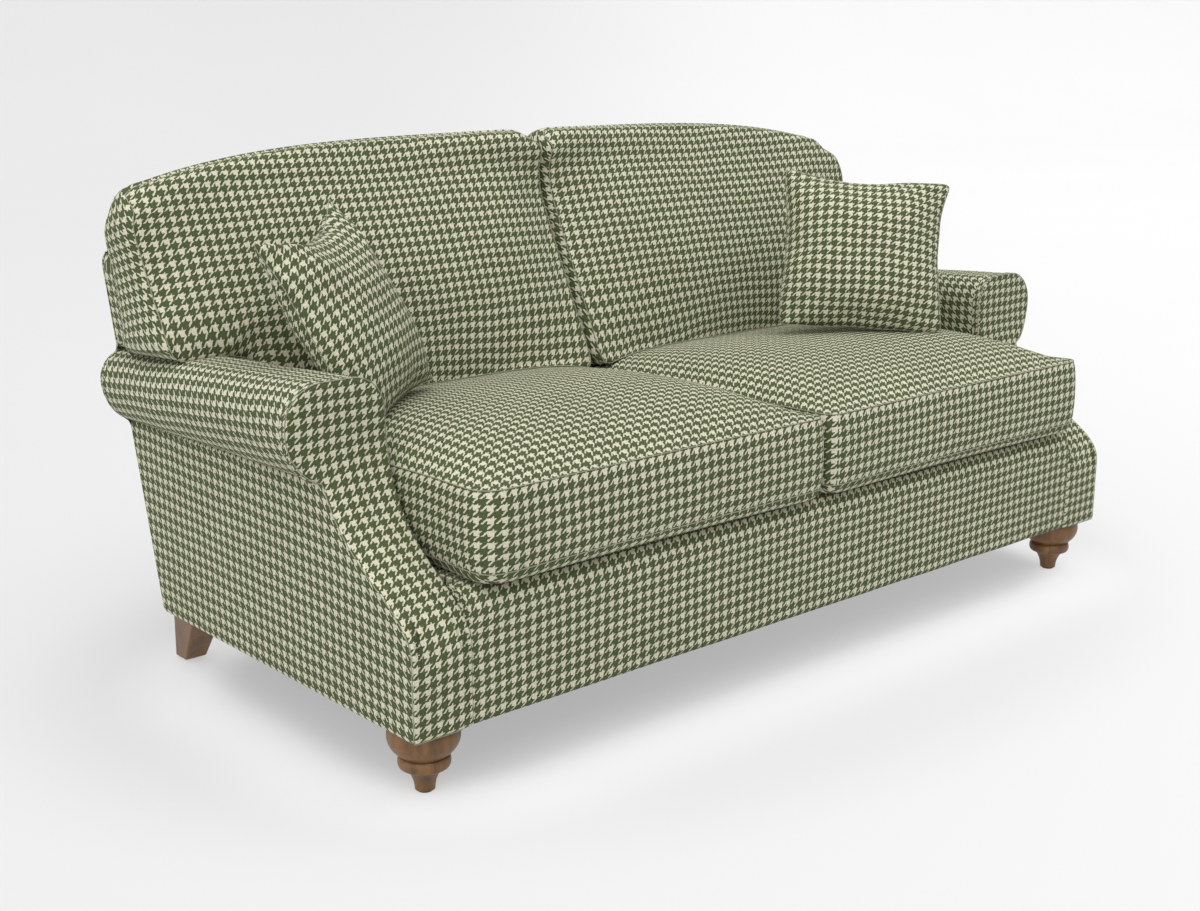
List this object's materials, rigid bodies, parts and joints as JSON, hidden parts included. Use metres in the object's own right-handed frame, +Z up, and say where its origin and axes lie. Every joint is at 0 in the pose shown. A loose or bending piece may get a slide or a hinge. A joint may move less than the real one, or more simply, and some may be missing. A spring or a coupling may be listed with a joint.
{
  "type": "three-seater sofa",
  "caption": "Upholstered sofa with rolled arms, raked back, loose boxed seat and back cushions, scatter cushions, turned front feet and square raked rear feet.",
  "frame": {"origin": "on the floor, under the centre of the sofa's bounding box", "axes": "+X across the sofa to its right arm as seen from the front, +Y from the front to the back, +Z up"},
  "size_m": [1.908, 0.977, 0.9528],
  "materials": {
    "frame_timber": "sawn beech",
    "spring_steel": "drawn wire",
    "clip_plastic": "moulded",
    "webbing": "woven elastic webbing",
    "platform_cloth": "plain lining cloth over padding",
    "check_frame": "green and cream houndstooth weave",
    "check_seat": "green and cream houndstooth weave over foam",
    "check_back": "green and cream houndstooth weave over fibre",
    "check_scatter": "green and cream houndstooth weave over feather",
    "dust_cloth": "black non-woven cloth",
    "foot_wood": "dark stain, satin lacquer",
    "zinc_steel": "zinc plated",
    "glide_plastic": "moulded"
  },
  "bodies": {
    "frame": {"front_rail": "frame_timber", "back_rail": "frame_timber", "side_rail_left": "frame_timber", "side_rail_right": "frame_timber", "centre_rail": "frame_timber", "corner_blocks": "frame_timber", "scroll_board_left": "frame_timber", "scroll_board_right": "frame_timber", "arm_slats_left": "frame_timber", "arm_slats_right": "frame_timber", "back_post_left": "frame_timber", "back_post_right": "frame_timber", "top_rail": "frame_timber", "spring_rail": "frame_timber", "centre_post": "frame_timber", "seat_springs": "spring_steel", "spring_clips": "clip_plastic", "back_webbing": "webbing", "seat_platform": "platform_cloth", "front_border": "check_frame", "arm_facing_left": "check_frame", "arm_facing_right": "check_frame", "arm_cover_left": "check_frame", "arm_cover_right": "check_frame", "outside_arm_left": "check_frame", "outside_arm_right": "check_frame", "inside_back": "check_frame", "outside_back": "check_frame", "dust_cover": "dust_cloth", "foot_front_left": "foot_wood", "foot_front_right": "foot_wood", "foot_rear_left": "foot_wood", "foot_rear_right": "foot_wood", "foot_studs": "zinc_steel", "foot_nuts": "zinc_steel", "foot_glides": "glide_plastic"},
    "seat_left": {"seat_cushion_left": "check_seat"},
    "seat_right": {"seat_cushion_right": "check_seat"},
    "back_left": {"back_cushion_left": "check_back"},
    "back_right": {"back_cushion_right": "check_back"},
    "scatter_a": {"scatter_left": "check_scatter"},
    "scatter_b": {"scatter_right": "check_scatter"}
  },
  "joints": [
    {"name": "seat_left_out", "type": "slide", "parent": "frame", "child": "seat_left", "axis": [0, -0.9997, 0.0262], "range_m": [0, 0.75]},
    {"name": "seat_right_out", "type": "slide", "parent": "frame", "child": "seat_right", "axis": [0, -0.9997, 0.0262], "range_m": [0, 0.75]},
    {"name": "back_left_up", "type": "slide", "parent": "frame", "child": "back_left", "axis": [0, 0.2419, 0.9703], "range_m": [0, 0.5]},
    {"name": "back_right_up", "type": "slide", "parent": "frame", "child": "back_right", "axis": [0, 0.2419, 0.9703], "range_m": [0, 0.5]},
    {"name": "scatter_left_up", "type": "slide", "parent": "seat_left", "child": "scatter_a", "axis": [0, 0, 1], "range_m": [0, 0.4]},
    {"name": "scatter_right_up", "type": "slide", "parent": "seat_right", "child": "scatter_b", "axis": [0, 0, 1], "range_m": [0, 0.4]}
  ]
}
